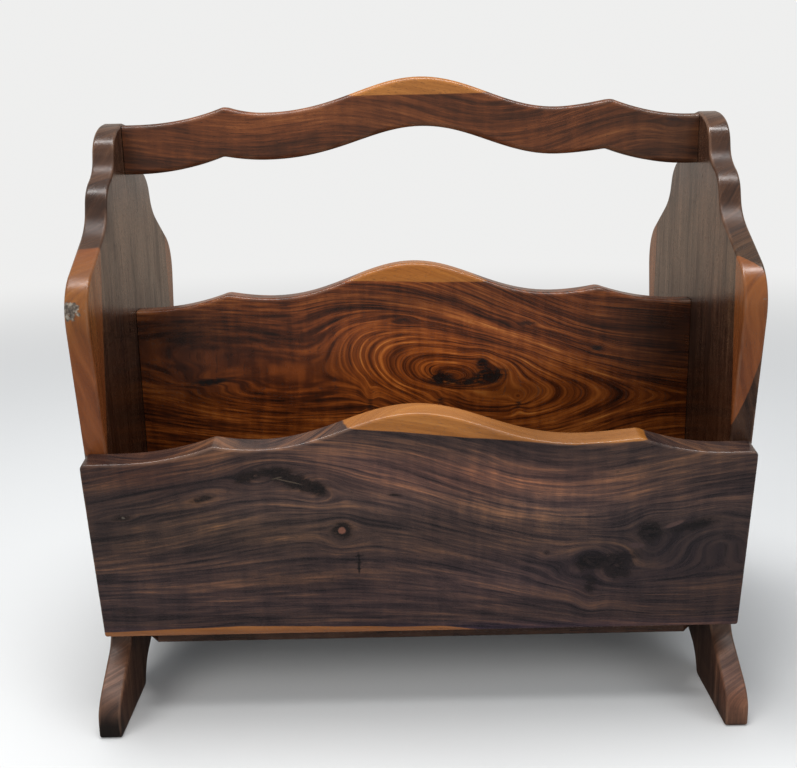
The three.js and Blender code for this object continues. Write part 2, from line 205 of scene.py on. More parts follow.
def add_wave(outline, half_length, base, wave, tip_ease, reverse=False):
    """Adds a wave from its right end to its left end, or the other way, to an outline."""
    shoulder, dip, crown, tip_shift, crown_shift = wave
    along = INNER_HALF_WIDTH

    def half(side):
        part = Outline(half_length, base)
        part.line(LEVEL_END * along, base)
        tip, middle = side * tip_shift, side * crown_shift
        part.curve((RISE * along + tip, base), (TIP * along + tip, base + shoulder)).ease(tip_ease)
        part.curve((FALL * along, base + dip), (DIP * along, base + dip))
        part.curve((SWELL * along + middle, base + dip), (CROWN * along + middle, base + crown),
                   (middle, base + crown), steps=2 * CURVE_STEPS)
        return part

    right, left = half(1), half(-1)
    points = list(right.points)
    corners = dict(right.corners)
    for index in range(len(left.points) - 2, -1, -1):
        if index in left.corners:
            corners[len(points)] = left.corners[index]
        x, y = left.points[index]
        points.append((-x, y))
    if reverse:
        last = len(points) - 1
        points = points[::-1]
        corners = {last - index: radius for index, radius in corners.items()}
    start = len(outline.points)
    outline.points.extend(points)
    outline.corners.update({start + index: radius for index, radius in corners.items()})


def end_outline():
    knuckle = leaning_half_depth(KNUCKLE_HEIGHT)

    def arch(d, h):
        return ARCH_HALF_DEPTH * d, ARCH_HEIGHT * h

    def foot(d, h):
        return mix(WAIST_HALF_DEPTH, FOOT_HALF_DEPTH, d), WAIST_HEIGHT * h

    def upper(d, h):
        return mix(NECK_HALF_DEPTH, knuckle, d), mix(KNUCKLE_HEIGHT, END_HEIGHT, h)

    def neck(d, h):
        return NECK_HALF_DEPTH * d, mix(KNUCKLE_HEIGHT, END_HEIGHT, h)

    outline = Outline(0, ARCH_HEIGHT)
    outline.curve(arch(0.28, 1), arch(0.54, 0.765), arch(0.738, 0.588), steps=2 * CURVE_STEPS)
    outline.curve(arch(0.936, 0.41), (ARCH_HALF_DEPTH, 0)).ease(FOOT_EASE)
    outline.line(FOOT_HALF_DEPTH, 0).ease(FOOT_EASE)
    outline.line(*foot(1, 0.206))
    outline.curve(foot(1, 0.35), foot(0.732, 0.484))
    outline.line(*foot(0.175, 0.746))
    outline.curve(foot(0, 0.833), (WAIST_HALF_DEPTH, WAIST_HEIGHT))
    outline.line(knuckle, KNUCKLE_HEIGHT)
    outline.curve(upper(1.029, 0.172), upper(0.848, 0.263), steps=2 * CURVE_STEPS)
    outline.line(*upper(0.493, 0.412))
    outline.curve(upper(0.365, 0.469), upper(0.33, 0.537))
    outline.line(*upper(0.306, 0.593))
    outline.curve(upper(0.281, 0.653), upper(0.187, 0.696))
    outline.curve(upper(0.044, 0.743), upper(0.02, 0.806))
    outline.line(*upper(0, 0.858))
    outline.curve(neck(0.85, 0.963), neck(0.23, 0.9925))
    outline.line(0, END_HEIGHT)
    points, corners = mirror_closed(outline)
    return eased_loop(points, corners)


# Board meshes
def smooth_step(value, low, high):
    t = np.clip((value - low) / (high - low), 0, 1)
    return t * t * (3 - 2 * t)


def inside(points, loop):
    """Which points lie inside the closed loop, and how far each is from it."""
    x, y = points[:, 0:1], points[:, 1:2]
    a, b = loop, np.roll(loop, -1, 0)
    crosses = (a[:, 1] > y) != (b[:, 1] > y)
    with np.errstate(divide="ignore", invalid="ignore"):
        at = (b[:, 0] - a[:, 0]) * (y - a[:, 1]) / (b[:, 1] - a[:, 1]) + a[:, 0]
    within = (crosses & (x < at)).sum(1) % 2 == 1
    edge = b - a
    share = np.clip(((points[:, None] - a) * edge).sum(2) / (edge ** 2).sum(1), 0, 1)
    gap = np.linalg.norm(points[:, None] - (a + share[..., None] * edge), axis=2).min(1)
    return within, gap


def rim_of(loop, sizes, square):
    """For each point of a loop: the way out from the flat face's rim, and the side's normal. Also
    which stretches are cut square, with no rounding."""
    count = len(loop)
    edge = np.roll(loop, -1, 0) - loop
    edge /= np.linalg.norm(edge, axis=1)[:, None]
    normal = np.stack([edge[:, 1], -edge[:, 0]], 1)
    before = np.roll(normal, 1, 0)
    joint = normal + before
    joint /= np.linalg.norm(joint, axis=1)[:, None]
    mitre = joint / np.clip((joint * normal).sum(1), LEAST_MITRE, 1)[:, None]
    inset = mitre * sizes[:, None]
    if not square:
        return inset, joint, np.zeros(count, bool)
    middle = (loop + np.roll(loop, -1, 0)) / 2
    squared = np.array([square(*p) for p in middle])
    squared_before = np.roll(squared, 1)
    for i in range(count):
        if squared[i] and squared_before[i]:
            inset[i] = 0
        elif squared[i] or squared_before[i]:
            keep, wall = (before[i], normal[i]) if squared[i] else (normal[i], before[i])
            along = np.array([-wall[1], wall[0]])
            along *= np.sign(along @ keep)
            inset[i] = along * sizes[i] / max(LEAST_MITRE, along @ keep)
            joint[i] = keep
    return inset, joint, squared


def face_points(rim, spacing, spots):
    """Points spread over a face inside its rim, and closer together in the spots."""
    lows, highs = rim.min(0), rim.max(0)
    xs = np.arange(lows[0], highs[0], spacing)
    ys = np.arange(lows[1], highs[1], spacing * ROW_SPACING)
    grid = np.array([(x + (k % 2) * spacing / 2, y) for k, y in enumerate(ys) for x in xs])
    for cx, cy, reach, fine in spots:
        near = np.arange(-reach, reach + fine / 2, fine)
        cloud = np.array([(cx + dx + (k % 2) * fine / 2, cy + dy)
                          for k, dy in enumerate(near) for dx in near])
        cloud = cloud[np.hypot(cloud[:, 0] - cx, cloud[:, 1] - cy) < reach]
        outside = np.hypot(grid[:, 0] - cx, grid[:, 1] - cy) > reach + fine
        grid = np.concatenate([grid[outside], cloud])
    within, gap = inside(grid, rim)
    least_gap = np.full(len(grid), spacing * RIM_CLEARANCE)
    for cx, cy, reach, fine in spots:
        around = np.hypot(grid[:, 0] - cx, grid[:, 1] - cy) < reach + fine
        least_gap[around] = fine * SPOT_CLEARANCE
    return grid[within & (gap > least_gap)]


def triangles(name, points, rim_count):
    """Triangles over the points, the first of which are the rim."""
    rim_edges = [(i, (i + 1) % rim_count) for i in range(rim_count)]
    _, _, tris, sources, _, _ = delaunay_2d_cdt(
        [Vector(p) for p in points], rim_edges, [], 1, MERGE_DISTANCE)
    if any(not source for source in sources):
        raise ValueError(f"{name}: the rim crosses itself")
    return [tuple(sources[k][0] for k in tri) for tri in tris]


def slopes(relief, points):
    """How a face falls off along X and Y at its points."""
    step = SLOPE_STEP
    rise_x = np.array([relief(x + step, y) - relief(x - step, y) for x, y in points])
    rise_y = np.array([relief(x, y + step) - relief(x, y - step) for x, y in points])
    return -rise_x / (2 * step), -rise_y / (2 * step)


def new_object(name, data):
    made = bpy.data.objects.new(name, data)
    bpy.context.scene.collection.objects.link(made)
    return made


def new_piece(name, points, point_normals, faces, flat, arris_share, matrix):
    """An object with its points' normals, flat faces kept flat, and arrises marked for wear and painted
    sheen.
    """
    mesh = bpy.data.meshes.new(name)
    mesh.from_pydata((points * MM).tolist(), [], faces)
    mesh.polygons.foreach_set("use_smooth", [True] * len(faces))
    mesh.update()
    loops = np.zeros(len(mesh.loops), int)
    mesh.loops.foreach_get("vertex_index", loops)
    loop_normals = point_normals[loops]
    for polygon, is_flat in zip(mesh.polygons, flat):
        if is_flat:
            loop_normals[list(polygon.loop_indices)] = tuple(polygon.normal)
    mesh.normals_split_custom_set(loop_normals.tolist())
    arris = mesh.attributes.new("arris", "FLOAT", "POINT")
    arris.data.foreach_set("value", arris_share.astype(np.float32))
    piece = new_object(name, mesh)
    piece.matrix_world = matrix
    return piece


def board(name, loop, thickness, radius, relief, matrix, square=None, spots=(), spacing=7.0):
    """A board sawn to a loop, with rounded arrises of a radius(x, y).

    square(x, y) says which stretches are cut square, where the board meets another. relief(x, y) is
    how far the faces stand proud, or lie back. Each of spots gets finer faces: x, y, reach, spacing."""
    count = len(loop)
    half = thickness / 2
    sizes = np.array([radius(*p) for p in loop])
    inset, joint, squared = rim_of(loop, sizes, square)

    # Rings of points from the lower face's rim, round its arris, up the side and round the upper arris
    angles = [math.pi / 2 * k / ROUND_STEPS for k in range(ROUND_STEPS, -1, -1)]
    levels = [(a, -1) for a in angles]
    levels += [(None, k / SIDE_STEPS) for k in range(1, SIDE_STEPS)]
    levels += [(a, 1) for a in reversed(angles)]
    verts, normals = [], []
    lift = np.array([relief(x, y) for x, y in loop])
    for a, sign in levels:
        if a is None:
            flat, z = loop, (half - sizes) * (2 * sign - 1)
            ring_normal = np.column_stack([joint, np.zeros(count)])
        else:
            flat = loop - inset * (1 - math.cos(a))
            z = sign * (half - sizes * (1 - math.sin(a)) + lift * math.sin(a))
            ring_normal = np.column_stack([joint * math.cos(a), np.full(count, sign * math.sin(a))])
        verts.append(np.column_stack([flat, z]))
        normals.append(ring_normal)
    faces = []
    for low in range(0, (len(levels) - 1) * count, count):
        high = low + count
        for i in range(count):
            j = (i + 1) % count
            faces.append((low + i, low + j, high + j, high + i))
    flat_faces = list(squared) * (len(levels) - 1)

    # The two faces, each with the same triangles over its own points
    rim = loop - inset
    grid = face_points(rim, spacing, spots)
    face = np.concatenate([rim, grid])
    lid = triangles(name, face, count)
    rise = np.array([relief(x, y) for x, y in grid])
    fall_x, fall_y = slopes(relief, face)
    base = len(levels) * count
    for sign, ring, offset in ((-1, 0, base), (1, len(levels) - 1, base + len(grid))):
        verts.append(np.column_stack([grid, sign * (half + rise)]))
        tilt = np.column_stack([fall_x, fall_y, np.full(len(face), float(sign))])
        tilt /= np.linalg.norm(tilt, axis=1)[:, None]
        normals.append(tilt[count:])
        normals[ring] = tilt[:count]
        for tri in lid:
            ids = [ring * count + k if k < count else offset + k - count for k in tri]
            a, b, c = (face[k] for k in tri)
            turn = (b[0] - a[0]) * (c[1] - a[1]) - (b[1] - a[1]) * (c[0] - a[0])
            if (turn > 0) != (sign > 0):
                ids.reverse()
            faces.append(tuple(ids))
    flat_faces += [False] * (2 * len(lid))
    # How far each ring lies round an arris, where the wood is lightened as rubbed wear and painted
    # sheen
    ring_arris_share = [0.0 if a is None else math.sin(2 * a) for a, _ in levels]
    arris_share = np.concatenate([np.repeat(ring_arris_share, count), np.zeros(2 * len(grid))])
    return new_piece(name, np.concatenate(verts), np.concatenate(normals), faces, flat_faces, arris_share,
                     matrix)


def placed(x_axis, y_axis, z_axis, origin):
    """The matrix of an object with these axes, and its origin in millimetres."""
    rows = [[x_axis[k], y_axis[k], z_axis[k], origin[k] * MM] for k in range(3)]
    return Matrix(rows + [[0, 0, 0, 1]])


def undulation(amount, pits=(), phase=0.0):
    """Slight hollows left by hand planing, and shallow pits at the knots: x, y, reach and depth."""
    def relief(x, y):
        long_waves = math.sin(x / LONG_WAVES[0] + phase) * math.cos(y / LONG_WAVES[1] - phase)
        short_waves = math.sin(x / SHORT_WAVES[0] + y / SHORT_WAVES[1] + 2 * phase)
        value = amount * (long_waves + SHORT_SHARE * short_waves) - amount * LIE_BACK
        for px, py, reach, depth in pits:
            value -= depth * math.exp(-((x - px) ** 2 + (y - py) ** 2) / reach ** 2)
        return value
    return relief


# Shader nodes
class Nodes:
    """Adds shader nodes to a material, and links them."""

    def __init__(self, tree):
        self.tree = tree

    def add(self, kind, inputs=(), **settings):
        node = self.tree.nodes.new("ShaderNode" + kind)
        for key, value in settings.items():
            setattr(node, key, value)
        for key, value in dict(inputs).items():
            self.put(node.inputs[key], value)
        return node

    def put(self, socket, value):
        if isinstance(value, bpy.types.NodeSocket):
            self.tree.links.new(value, socket)
        else:
            socket.default_value = value

    def math(self, operation, *values):
        return self.add("Math", enumerate(values), operation=operation).outputs[0]

    def vector(self, operation, *values):
        node = self.add("VectorMath", enumerate(values), operation=operation)
        return node.outputs["Value" if operation in ("DOT_PRODUCT", "LENGTH") else "Vector"]

    def parts(self, vector):
        return self.add("SeparateXYZ", {"Vector": vector}).outputs

    def joined(self, *parts):
        return self.add("CombineXYZ", enumerate(parts)).outputs[0]

    def noise(self, vector, stretch=None, detail=2.0, roughness=0.5, out="Fac"):
        """Noise with one lump to a unit of the vector, once that is multiplied by stretch."""
        if stretch:
            vector = self.vector("MULTIPLY", vector, stretch)
        node = self.add("TexNoise", {"Vector": vector, "Scale": 1.0, "Detail": detail,
                                     "Roughness": roughness})
        return node.outputs[out]

    def span(self, value, low, high, to_low=0.0, to_high=1.0, kind="LINEAR"):
        node = self.add("MapRange", {"Value": value, "From Min": low, "From Max": high,
                                     "To Min": to_low, "To Max": to_high}, interpolation_type=kind)
        return node.outputs["Result"]

    def step(self, *values):
        return self.span(*values, kind="SMOOTHSTEP")

    def swing(self, noise, amount):
        """Noise spread out to run from -amount to amount."""
        return self.span(noise, *NOISE_RANGE, -amount, amount)

    def ramp(self, value, stops):
        node = self.add("ValToRGB", {"Fac": value})
        elements = node.color_ramp.elements
        while len(elements) < len(stops):
            elements.new(1.0)
        for element, (position, colour) in zip(elements, stops):
            element.position = position
            element.color = srgb(colour)
        return node.outputs["Color"]

    def blend(self, factor, a, b, mode="MIX"):
        node = self.add("Mix", {"Factor": factor}, data_type="RGBA", blend_type=mode)
        inputs = {socket.identifier: socket for socket in node.inputs}
        outputs = {socket.identifier: socket for socket in node.outputs}
        self.put(inputs["A_Color"], a)
        self.put(inputs["B_Color"], b)
        return outputs["Result_Color"]

    def local(self, vector, x, y, turn, reaches=(1.0, 1.0, 1.0)):
        """The vector as seen from a point, turned by so many degrees and counted in reaches."""
        node = self.add("Mapping", {"Vector": vector, "Location": (x, y, 0),
                                    "Rotation": (0, 0, math.radians(turn)),
                                    "Scale": reaches}, vector_type="TEXTURE")
        return node.outputs["Vector"]

    def fading(self, local):
        """1 where the vector is 0, and fading out around."""
        return self.math("POWER", math.exp(-1), self.vector("DOT_PRODUCT", local, local))

    def spot(self, vector, x, y, reach_x, reach_y, turn=0.0):
        """1 at a point, fading out over its reaches, and the same all through the board."""
        return self.fading(self.local(vector, x, y, turn, (reach_x, reach_y, THROUGH)))

    def total(self, first, terms):
        """first plus each (value, factor)."""
        for value, factor in terms:
            first = self.math("MULTIPLY_ADD", value, factor, first)
        return first


def new_material(name):
    """(a material, its nodes, its surface shader)."""
    material = bpy.data.materials.new(name)
    material.use_nodes = True
    tree = material.node_tree
    return material, Nodes(tree), tree.nodes["Principled BSDF"]


def set_surface(n, shader, colour, roughness, height, strength, distance):
    """The last two say how strong the relief is, and how deep in metres."""
    bump = n.add("Bump", {"Height": height, "Strength": strength, "Distance": distance})
    n.put(shader.inputs["Base Color"], colour)
    n.put(shader.inputs["Roughness"], roughness)
    n.put(shader.inputs["Normal"], bump.outputs[0])


def srgb(colour):
    """A colour given as three numbers to 255, in linear light."""
    linear = [(c / 255 / 12.92) if c <= 10 else ((c / 255 + 0.055) / 1.055) ** 2.4 for c in colour]
    return (*linear, 1.0)


# The wood's fixed numbers. A stretch is in lumps of noise per millimetre, or per unit of the flow.
THROUGH = 1e6
NOISE_RANGE = (0.3, 0.7)
SEED_SHIFT, SEED_DEPTH = (311.0, 173.0, 97.0), 7.3
LONG_WAVER, SHORT_WAVER = (1 / 120, 1 / 46, 1 / 60), (1 / 24, 1 / 8, 1 / 12)
NOISE_MIDDLE = (-0.5, -0.5, -0.5)
DEPTH_SLOPE, OVAL_DEPTH_SLOPE = 0.55, 0.3
OVAL_NARROWS, OVAL_TAIL, OVAL_BLUNTS = (0.1, 1.1), 0.55, 0.5
KNOT_SPREAD, KNOT_PUSH = 2.2, 0.85
FIGURE_LENGTH = 170
HAIRS, VEINS_ALONG, LINE_STRETCH, LINE_DRIFT = 2.2, 2.2, (1.6, 0.6), 5.0
TONE_RANGE = (0.34, 0.66)
VEIN_EDGE, LINE_DARKENS, LINE_ENDS, LINE_FADES = (0.55, 0.68), (0.25, 0.9), (1.0, 0.93), (0.4, 0.62)
CURL_STRETCH, CURL_STRENGTH = (1 / 7, 1 / 34, 1 / 30), 0.08
MOTTLE_STRETCH = (1 / 5, 1 / 22, 1 / 20)
DEEPEST_SHADE = 0.12
SPECKLE_STRETCH = (1 / 6, 1 / 2.4, 1 / 4)
SPECKLE_RANGE, DARK_RANGE, HEART_EDGE = (0.35, 0.6, 0.5, 1.2), (0.05, 0.95), (0.25, 0.6)
KNOT_COLOURS = [(0.36, (8, 8, 11)), (0.62, (34, 25, 23))]
BORDER_STRETCH, BORDER_WAVER, BORDER_BLUR = (1 / 40, 1 / 12, 1 / 12), 0.45, 0.45
WELL_INSIDE = 100.0
SAP_WEIGHTS, SHEEN_WEIGHTS, SHEEN_RANGE = (0.4, 0.35, 0.25), (0.35, 0.4, 0.25), (0.36, 0.62)
PORES_ALONG, PORES_ACROSS, PORE_EDGE, PORE_DARKNESS = 1 / 4, 1.5, (0.58, 0.7), 0.45
# The lighter colour on the arrises is partly rubbed wear and partly a painted sheen
PORE_COLOUR, RUB_AND_SHEEN_COLOUR = (20, 12, 9), (140, 104, 80)
RUB_AND_SHEEN_STRETCH, RUB_AND_SHEEN_RANGE = (1 / 30, 1 / 30, 1 / 30), (0.42, 0.62, 0.03, 0.28)
GLOSS_STRETCH, GLOSS_RANGE, SHINIEST = (1 / 60, 1 / 35, 1 / 35), (-0.04, 0.06), -0.03
PORE_ROUGHNESS, CHIP_ROUGHNESS = 0.2, 0.35
PORE_HEIGHT, TONE_HEIGHT, CHIP_HEIGHT, WOOD_BUMP = -0.6, 0.25, -2.0, (0.16, 0.0003)
JAG_STRETCH, GRIT_STRETCH = (1 / 3, 1 / 3, 1 / 3), (1 / 2, 1 / 2, 1 / 2)
JAGGEDNESS, CHIP_BLUR = 3.4, 1.2
GRIT_COLOURS = [(0.34, (56, 48, 42)), (0.5, (96, 86, 76)), (0.66, (138, 130, 118))]


def oval_field(n, warped, z, eye):
    """A number for each place that is the same all round an oval, so the grain's lines close."""
    x, y, left, right, height, turn, power, shear = eye
    along, across = n.parts(n.local(warped, x, y, turn))[:2]
    across = n.math("MULTIPLY_ADD", z, OVAL_DEPTH_SLOPE, across)
    along = n.math("MULTIPLY_ADD", across, shear, along)
    away = n.math("MAXIMUM", n.math("MULTIPLY", along, 1 / right), n.math("MULTIPLY", along, -1 / left))
    away = n.math("SMOOTH_MIN", away, 1.0, OVAL_BLUNTS)
    narrowed = n.step(along, *(share * right for share in OVAL_NARROWS), height, OVAL_TAIL * height)
    up = n.math("ABSOLUTE", n.math("DIVIDE", across, narrowed))
    both = n.math("ADD", n.math("POWER", up, power),
                  n.math("POWER", n.math("MAXIMUM", away, 0.0), power))
    return n.math("MULTIPLY", n.math("POWER", both, 1 / power), height)


def sapwood(n, seeded, straight, regions):
    """1 in the regions of sapwood and 0 elsewhere, with slightly wavering borders, or None."""
    border = n.swing(n.noise(seeded, BORDER_STRETCH), BORDER_WAVER)
    whole = None
    for region in regions:
        value = WELL_INSIDE
        for *factors, offset in region:
            side = n.math("ADD", n.total(border, zip(straight, factors)), offset)
            value = n.math("MINIMUM", side, value)
        mask = n.step(value, -BORDER_BLUR, BORDER_BLUR)
        whole = mask if whole is None else n.math("MAXIMUM", whole, mask)
    return whole


def wood(name, heart, sap_colours, rings, seed, hills=(), eyes=(), knots=(), shades=(), cracks=(),
         saps=(), waver=(5.0, 1.0), gloss=0.2, weights=(0.26, 0.34, 0.26, 0.14), veins=0.2,
         lines=(4.2, 0.22), chips=(), hearts=(), tints=(), curls=(), sheen=0.0, dulls=()):
    """Figured wood whose grain runs along the object's own X.

    heart and sap_colours go from dark to light. rings are the widths of the broad, middle and fine
    bands and of the veins, and weights how much the broad, middle, fine and hairline bands count.
    waver is how far the grain wanders in long and in short waves, veins how dark the veins are,
    lines the growth lines' spacing and strength, and sheen how far the roughness follows the grain.

    The rest are lists of places: x, y, reach along X, reach along Y, turn in degrees (but for
    dulls), and then:
      hills   how far the grain's lines bend
      knots   how dark they are; the lines part round them
      shades  how much lighter or darker the heartwood is; some are painted light and shade
      cracks  how dark they are
      hearts  the colour of a pale spot
      tints   what the finished colour is multiplied by
      curls   how strong a mottle across the grain is, which leans by the turn
      dulls   how much rougher a rubbed place is
    eyes close the lines into ovals: x, y, reach to the left, reach to the right, height, turn, the
    oval's power, and shear. chips are knocked out: x, y, z and radius. Each of saps is a region of
    pale sapwood where several half spaces overlap: factors of x, y and z, and an offset.

    With 83 places in one wood, a knot counted as two, Cycles drew it black, and with 74 it didn't."""
    material, n, shader = new_material(name)
    place = n.add("TexCoord").outputs["Object"]
    place = n.vector("MULTIPLY", place, (PER_METRE, PER_METRE, PER_METRE))
    seeded = n.vector("ADD", place, tuple(seed * shift for shift in SEED_SHIFT))
    wide, small = waver
    long_warp = n.noise(seeded, LONG_WAVER, out="Color")
    short_warp = n.noise(seeded, SHORT_WAVER, out="Color")
    long_shift = n.vector("MULTIPLY", n.vector("ADD", long_warp, NOISE_MIDDLE), (wide, wide, wide))
    short_shift = n.vector("MULTIPLY", n.vector("ADD", short_warp, NOISE_MIDDLE), (small, small, small))
    warped = n.vector("ADD", n.vector("ADD", place, long_shift), short_shift)
    x, y, z = n.parts(warped)

    # The field is where a place lies across the grain's lines, and the flow runs along them
    field = n.math("MULTIPLY_ADD", z, DEPTH_SLOPE, y)
    for eye in eyes:
        field = oval_field(n, warped, z, eye)
    bends = [(n.spot(warped, *spot), -rise) for *spot, rise in hills]
    darkness = []
    for kx, ky, rx, ry, turn, strength in knots:
        near = n.spot(warped, kx, ky, rx, ry, turn)
        wide_x, wide_y = rx * KNOT_SPREAD, ry * KNOT_SPREAD
        wide_local = n.local(warped, kx, ky, turn, (wide_x, wide_y, THROUGH))
        wider = n.fading(wide_local)
        across = n.parts(wide_local)["Y"]
        bends.append((n.math("MULTIPLY", across, wider), -KNOT_PUSH * wide_y))
        darkness.append((near, strength))
    field = n.total(field, bends)
    flow = n.joined(n.math("MULTIPLY", x, 1 / FIGURE_LENGTH), field, seed * SEED_DEPTH)

    # The tone, from dark to light: bands of four widths, veins, growth lines and curl
    broad = n.noise(flow, (1, 1 / rings[0], 1), 1.5)
    middle = n.noise(flow, (2, 1 / rings[1], 1), 2.5)
    fine = n.noise(flow, (4, 1 / rings[2], 1))
    hair = n.noise(flow, (9, HAIRS / rings[2], 1), 1.0)
    tone = n.span(n.total(0.0, zip((broad, middle, fine, hair), weights)), *TONE_RANGE)
    streaks = n.step(n.noise(flow, (VEINS_ALONG, 1 / rings[3], 1)), *VEIN_EDGE)
    tone = n.math("MULTIPLY_ADD", streaks, -veins, tone)
    spacing, strength = lines
    drift = n.math("MULTIPLY", broad, LINE_DRIFT)
    ring = n.math("FRACT", n.math("MULTIPLY_ADD", field, 1 / spacing, drift))
    ring = n.math("MULTIPLY", n.step(ring, *LINE_DARKENS), n.step(ring, *LINE_ENDS))
    depth = n.step(n.noise(flow, (LINE_STRETCH[0], LINE_STRETCH[1] / spacing, 1)), *LINE_FADES)
    tone = n.math("MULTIPLY_ADD", n.math("MULTIPLY", ring, depth), -strength, tone)
    tone = n.math("ADD", tone, n.swing(n.noise(seeded, CURL_STRETCH), CURL_STRENGTH))
    for cx, cy, rx, ry, turn, amount in curls:
        leaning = n.add("Mapping", {"Vector": seeded, "Rotation": (0, 0, math.radians(turn)),
                                    "Scale": MOTTLE_STRETCH}, vector_type="POINT").outputs[0]
        mottle = n.swing(n.noise(leaning), amount)
        tone = n.math("MULTIPLY_ADD", mottle, n.spot(place, cx, cy, rx, ry), tone)

    # The heartwood's colour, with shades (some painted light and shade), knots and cracks; sapwood over
    # it
    colour = n.ramp(tone, heart)
    light = 1.0
    for *spot, amount in shades:
        light = n.math("MULTIPLY_ADD", n.spot(warped, *spot), amount, light)
    if shades:
        light = n.math("MAXIMUM", light, DEEPEST_SHADE)
        colour = n.blend(1.0, colour, n.joined(light, light, light), "MULTIPLY")
    darkness += [(n.spot(warped, *spot), strength) for *spot, strength in cracks]
    if darkness:
        dark = n.total(0.0, darkness)
        speckle = n.noise(seeded, SPECKLE_STRETCH, 3.0)
        dark = n.math("MULTIPLY", dark, n.span(speckle, *SPECKLE_RANGE))
        dark = n.step(dark, *DARK_RANGE)
        colour = n.blend(dark, colour, n.ramp(speckle, KNOT_COLOURS))
    for *spot, pale_colour in hearts:
        pale = n.step(n.spot(warped, *spot), *HEART_EDGE)
        colour = n.blend(pale, colour, srgb(pale_colour))
    straight = n.parts(place)
    sap = sapwood(n, seeded, straight, saps)
    if sap is not None:
        sap_tone = n.span(n.total(0.0, zip((fine, middle, broad), SAP_WEIGHTS)), *TONE_RANGE)
        colour = n.blend(sap, colour, n.ramp(sap_tone, sap_colours))
    for *spot, tint in tints:
        tinted = n.blend(1.0, colour, (*tint, 1.0), "MULTIPLY")
        colour = n.blend(n.spot(place, *spot), colour, tinted)

    # Pores, arrises lightened as rubbed wear and painted sheen, gloss and relief
    pore_place = n.joined(n.math("MULTIPLY", straight[0], PORES_ALONG),
                          n.math("MULTIPLY", field, PORES_ACROSS),
                          n.math("MULTIPLY", straight[2], PORES_ACROSS))
    pores = n.step(n.noise(pore_place, roughness=0.6), *PORE_EDGE)
    colour = n.blend(n.math("MULTIPLY", pores, PORE_DARKNESS), colour, srgb(PORE_COLOUR))
    arris = n.add("Attribute", attribute_name="arris").outputs["Fac"]
    # Lighter patches along the arrises: partly rubbed wear, partly a painted sheen
    rub_and_sheen = n.math("MULTIPLY", arris, n.step(n.noise(seeded, RUB_AND_SHEEN_STRETCH, 3.0), *RUB_AND_SHEEN_RANGE))
    colour = n.blend(rub_and_sheen, colour, srgb(RUB_AND_SHEEN_COLOUR))
    rough = n.span(n.noise(seeded, GLOSS_STRETCH, 3.0), *NOISE_RANGE,
                   *(gloss + change for change in GLOSS_RANGE))
    rough = n.math("MULTIPLY_ADD", pores, PORE_ROUGHNESS, rough)
    for *spot, amount in dulls:
        rough = n.math("MULTIPLY_ADD", n.spot(place, *spot), amount, rough)
    if sheen:
        grain = n.total(0.0, zip((broad, middle, fine), SHEEN_WEIGHTS))
        rough = n.math("ADD", rough, n.span(grain, *SHEEN_RANGE, sheen, SHINIEST))
    height = n.math("MULTIPLY_ADD", pores, PORE_HEIGHT, n.math("MULTIPLY", tone, TONE_HEIGHT))
    for *corner, reach in chips:
        jag = n.noise(seeded, JAG_STRETCH, 3.0)
        far = n.vector("LENGTH", n.vector("SUBTRACT", place, tuple(corner)))
        far = n.math("ADD", far, n.swing(jag, JAGGEDNESS))
        mask = n.step(far, reach, reach - CHIP_BLUR)
        grit = n.ramp(n.noise(seeded, GRIT_STRETCH), GRIT_COLOURS)
        colour = n.blend(mask, colour, grit)
        rough = n.math("MULTIPLY_ADD", mask, CHIP_ROUGHNESS, rough)
        height = n.math("MULTIPLY_ADD", n.math("MULTIPLY", mask, jag), CHIP_HEIGHT, height)
    set_surface(n, shader, colour, rough, height, *WOOD_BUMP)
    return material


# Each board's colours and features, in its own millimetres
DARK_HEART = [(0.0, (29, 23, 25)), (0.3, (50, 38, 37)), (0.55, (69, 51, 45)), (0.78, (93, 66, 51)),
              (1.0, (120, 83, 60))]
GOLD_HEART = [(0.0, (30, 13, 7)), (0.28, (70, 31, 12)), (0.52, (112, 54, 19)), (0.76, (148, 80, 32)),
              (1.0, (184, 116, 56))]
RAIL_HEART = [(0.0, (42, 20, 9)), (0.28, (65, 32, 14)), (0.52, (91, 46, 20)), (0.76, (113, 61, 28)),
              (1.0, (136, 81, 41))]
END_HEART = [(0.0, (34, 20, 14)), (0.28, (48, 29, 20)), (0.52, (64, 41, 29)), (0.76, (80, 54, 39)),
             (1.0, (102, 72, 54))]
SAP = [(0.0, (138, 84, 34)), (0.5, (158, 99, 43)), (1.0, (176, 115, 54))]
END_SAP = [(0.0, (92, 46, 20)), (0.5, (112, 60, 29)), (1.0, (130, 74, 40))]

